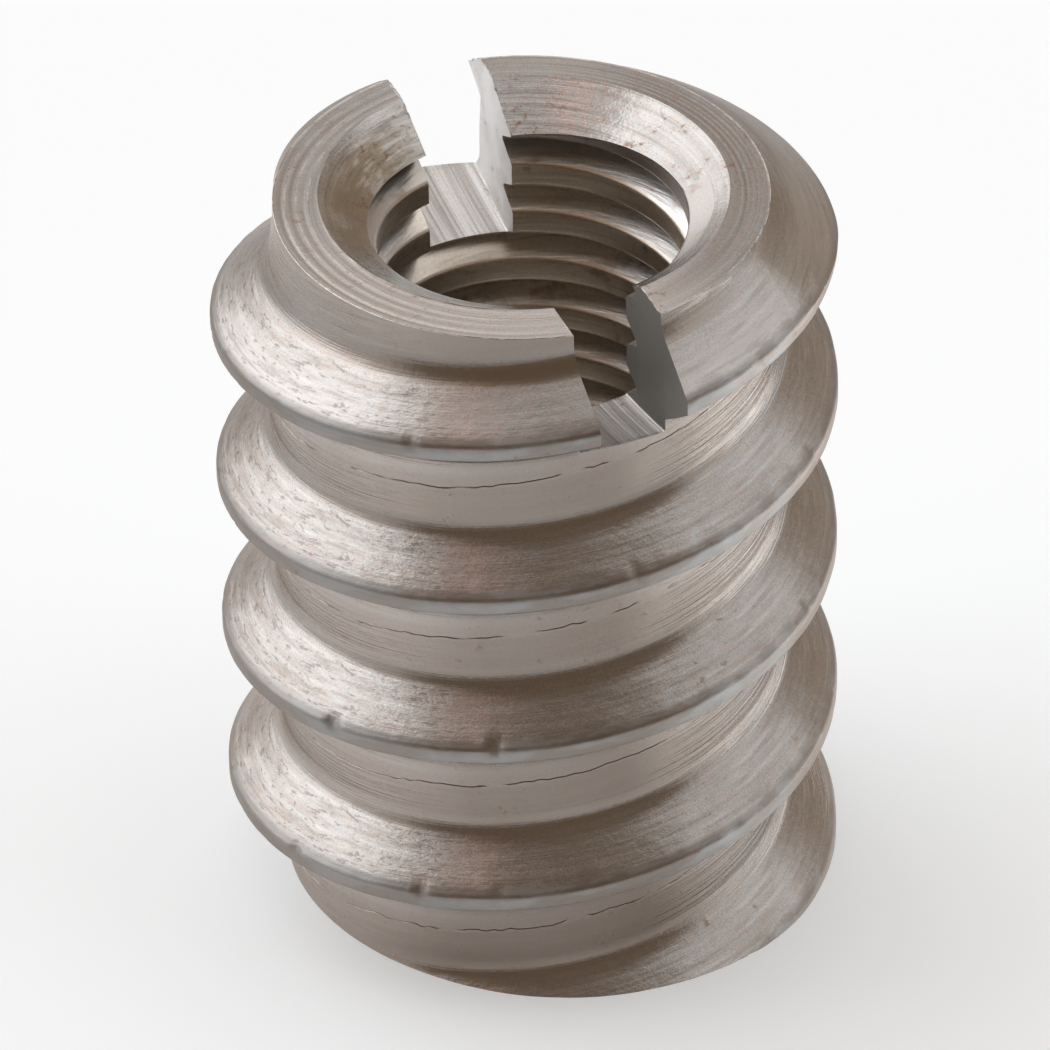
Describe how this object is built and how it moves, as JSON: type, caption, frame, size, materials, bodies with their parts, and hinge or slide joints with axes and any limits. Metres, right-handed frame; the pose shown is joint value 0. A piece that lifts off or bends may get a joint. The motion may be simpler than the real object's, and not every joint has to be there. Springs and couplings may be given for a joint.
{
  "type": "threaded insert",
  "caption": "Screw-in threaded insert: a steel sleeve with a coarse wood thread outside, a machine-screw thread right through and a driving slot across its upper end.",
  "frame": {"origin": "centre of the plain lower end, on the bore's axis", "axes": "+Z along the bore's axis towards the slotted end; the driving slot runs along Y; +X completes a right-handed frame"},
  "size_m": [0.0136, 0.0136, 0.0171],
  "materials": {
    "steel": "bare turned steel with light rust staining"
  },
  "bodies": {
    "root": {"insert": "steel"}
  },
  "joints": []
}
